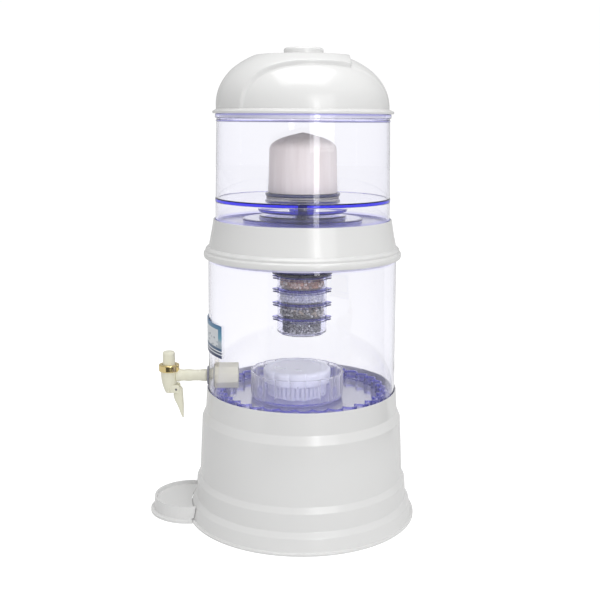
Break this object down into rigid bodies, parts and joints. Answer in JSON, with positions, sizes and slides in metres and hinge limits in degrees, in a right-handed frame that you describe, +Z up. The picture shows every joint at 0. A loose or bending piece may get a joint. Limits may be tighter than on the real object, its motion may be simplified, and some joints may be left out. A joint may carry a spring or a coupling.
{
  "type": "countertop water dispenser",
  "caption": "Countertop gravity water dispenser: stepped stand, clear lower tank with push tap and stone case, collar with filter cartridge, clear upper tank with dome filter, domed lid.",
  "frame": {"origin": "on the table, under the middle of the footprint of the stand and its drip tray together", "axes": "+Z up, -Y the way the tap and the drip tray point, +X to the right of someone who looks along +Y at the tap"},
  "size_m": [0.3, 0.3504, 0.6],
  "materials": {
    "white_plastic": "moulded white plastic, glossy",
    "clear_plastic": "clear moulded plastic with a faint violet-blue tint, glossy",
    "blue_clear_plastic": "clear plastic with a blue tint at its edges, glossy",
    "frosted_plastic": "frosted translucent plastic",
    "ivory_plastic": "ivory moulded plastic, satin",
    "gold_ring": "polished gold-coloured ring",
    "dome_ceramic": "smooth unglazed ceramic, warm grey",
    "grey_rubber": "soft grey rubber, matt",
    "black_carbon": "black activated carbon and its black cap",
    "black_plastic": "black moulded plastic, satin",
    "red_clay": "small fired clay balls",
    "silica": "pale silica beads",
    "zeolite": "grey and brown mineral grains",
    "mineral_sand": "fine dark mineral sand",
    "mineral_stone": "pale mineral stones",
    "steel": "stainless steel",
    "label_print": "printed plastic film with plain colour bands"
  },
  "bodies": {
    "stand": {"stand_shell": "white_plastic"},
    "tray": {"drip_tray": "white_plastic"},
    "lower_tank": {"lower_tank_shell": "clear_plastic", "tank_label": "label_print", "tap_body": "ivory_plastic", "tap_washer": "grey_rubber", "tap_seal": "grey_rubber", "tap_nut": "ivory_plastic", "tap_ring": "gold_ring", "tap_cap": "ivory_plastic", "tap_spring": "steel", "lever_pin": "steel"},
    "lever": {"tap_lever": "ivory_plastic"},
    "plunger": {"tap_plunger": "steel", "tap_plug": "grey_rubber"},
    "stone_case": {"stone_cup": "frosted_plastic", "stone_drum": "frosted_plastic", "mineral_stones": "mineral_stone"},
    "case_lid": {"drum_lid": "frosted_plastic"},
    "collar": {"collar_shell": "white_plastic", "inlet_cover": "blue_clear_plastic"},
    "cartridge": {"cartridge_neck": "blue_clear_plastic", "carbon_bed": "black_carbon", "carbon_cap": "black_plastic", "stage_cup_1": "blue_clear_plastic", "clay_ball_bed": "red_clay", "stage_cup_2": "blue_clear_plastic", "silica_bead_bed": "silica", "stage_cup_3": "blue_clear_plastic", "zeolite_grain_bed": "zeolite", "stage_cup_4": "blue_clear_plastic", "mineral_sand_bed": "mineral_sand"},
    "upper_tank": {"upper_tank_shell": "clear_plastic", "dome_gasket": "grey_rubber", "dome_base": "black_plastic", "ceramic_dome": "dome_ceramic", "filter_stem": "black_plastic", "backing_dish": "blue_clear_plastic"},
    "nut": {"stem_nut": "blue_clear_plastic"},
    "lid": {"lid_shell": "white_plastic", "lid_knob": "white_plastic"}
  },
  "joints": [
    {"name": "lower_tank_lift", "type": "slide", "parent": "stand", "child": "lower_tank", "axis": [0, 0, 1], "range_m": [0, 0.06]},
    {"name": "tray_pull", "type": "slide", "parent": "stand", "child": "tray", "axis": [0, -1, 0], "range_m": [0, 0.08]},
    {"name": "lever_push", "type": "hinge", "parent": "lower_tank", "child": "lever", "pos_m": [0, -0.1384, 0.1666], "axis": [1, 0, 0], "range_deg": [0, 16], "stiffness_Nm_per_rad": 0.2},
    {"name": "plunger_lift", "type": "slide", "parent": "lower_tank", "child": "plunger", "axis": [0, 0, 1], "range_m": [0, 0.003], "deforming": ["tap_spring"]},
    {"name": "stone_case_lift", "type": "slide", "parent": "lower_tank", "child": "stone_case", "axis": [0, 0, 1], "range_m": [0, 0.035]},
    {"name": "case_lid_twist", "type": "hinge", "parent": "stone_case", "child": "case_lid", "pos_m": [0, 0.0192, 0.19], "axis": [0, 0, 1], "range_deg": [0, 45]},
    {"name": "collar_lift", "type": "slide", "parent": "lower_tank", "child": "collar", "axis": [0, 0, 1], "range_m": [0, 0.12]},
    {"name": "cartridge_twist", "type": "hinge", "parent": "collar", "child": "cartridge", "pos_m": [0, 0.0252, 0.388], "axis": [0, 0, 1], "range_deg": [0, 60]},
    {"name": "upper_tank_lift", "type": "slide", "parent": "collar", "child": "upper_tank", "axis": [0, 0, 1], "range_m": [0, 0.08]},
    {"name": "stem_nut_turn", "type": "hinge", "parent": "upper_tank", "child": "nut", "pos_m": [0, 0.0252, 0.4], "axis": [0, 0, 1], "continuous": true},
    {"name": "lid_lift", "type": "slide", "parent": "upper_tank", "child": "lid", "axis": [0, 0, 1], "range_m": [0, 0.1]}
  ],
  "couplings": [
    {"joint": "plunger_lift", "follows": "lever_push", "m_per_rad": 0.0105}
  ]
}
